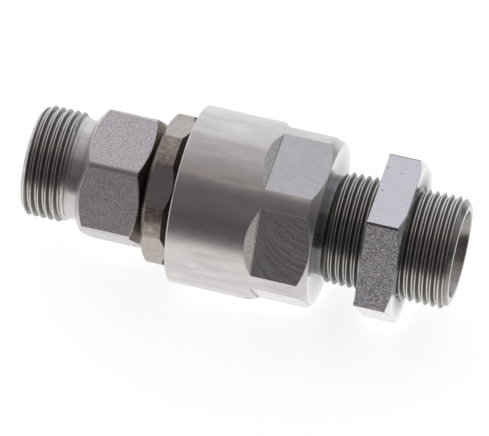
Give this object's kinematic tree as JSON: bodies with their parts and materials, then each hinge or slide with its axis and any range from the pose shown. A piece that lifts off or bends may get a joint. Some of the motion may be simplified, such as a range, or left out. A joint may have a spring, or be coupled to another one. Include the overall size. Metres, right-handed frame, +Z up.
{
  "type": "hydraulic rotary union",
  "caption": "Straight hydraulic rotary union with a turning 24 degree cone tube end, a round housing with wrench flats and a threaded bulkhead stem with locknut.",
  "frame": {"origin": "on the union's axis at the housing's panel face", "axes": "+X along the axis towards the bulkhead stem's end, +Z up, square to one of the housing's wrench flats"},
  "size_m": [0.0852, 0.035, 0.035],
  "materials": {
    "turned_steel": "turned and zinc plated",
    "shaft_steel": "machined and zinc plated, matt",
    "forged_nut_steel": "zinc plated, slightly pitted",
    "phosphated_steel": "brown phosphated",
    "bearing_steel": "ground",
    "spring_steel": "blued spring steel",
    "brass": "machined",
    "bronze": "sintered bronze",
    "nitrile_rubber": "black",
    "polyurethane": "satin",
    "ptfe": "filled, dark"
  },
  "bodies": {
    "housing_body": {"housing": "turned_steel", "bearing_nut": "phosphated_steel", "nut_seal_ring": "nitrile_rubber", "dust_wiper": "polyurethane", "guide_bush": "bronze", "front_fixed_race": "bearing_steel", "rear_fixed_race": "bearing_steel", "shaft_guide_ring": "ptfe", "glide_ring": "ptfe", "energiser_ring": "nitrile_rubber"},
    "turning_shaft": {"rotor_shaft": "shaft_steel", "front_turning_race": "bearing_steel", "thrust_collar": "bearing_steel", "collar_snap_ring": "spring_steel", "rear_turning_race": "bearing_steel"},
    "front_roller_row": {"front_cage": "brass", "front_rollers": "bearing_steel"},
    "rear_roller_row": {"rear_cage": "brass", "rear_rollers": "bearing_steel"},
    "stem_locknut": {"bulkhead_locknut": "forged_nut_steel"}
  },
  "joints": [
    {"name": "shaft_turn", "type": "hinge", "parent": "housing_body", "child": "turning_shaft", "pos_m": [-0.0345, 0, 0], "axis": [1, 0, 0], "continuous": true},
    {"name": "front_row_turn", "type": "hinge", "parent": "housing_body", "child": "front_roller_row", "pos_m": [-0.0186, 0, 0], "axis": [1, 0, 0], "continuous": true},
    {"name": "rear_row_turn", "type": "hinge", "parent": "housing_body", "child": "rear_roller_row", "pos_m": [-0.0111, 0, 0], "axis": [1, 0, 0], "continuous": true},
    {"name": "locknut_travel", "type": "slide", "parent": "housing_body", "child": "stem_locknut", "axis": [1, 0, 0], "range_m": [-0.008, 0.008]}
  ],
  "couplings": [
    {"joint": "front_row_turn", "follows": "shaft_turn", "ratio": 0.5},
    {"joint": "rear_row_turn", "follows": "shaft_turn", "ratio": 0.5}
  ]
}
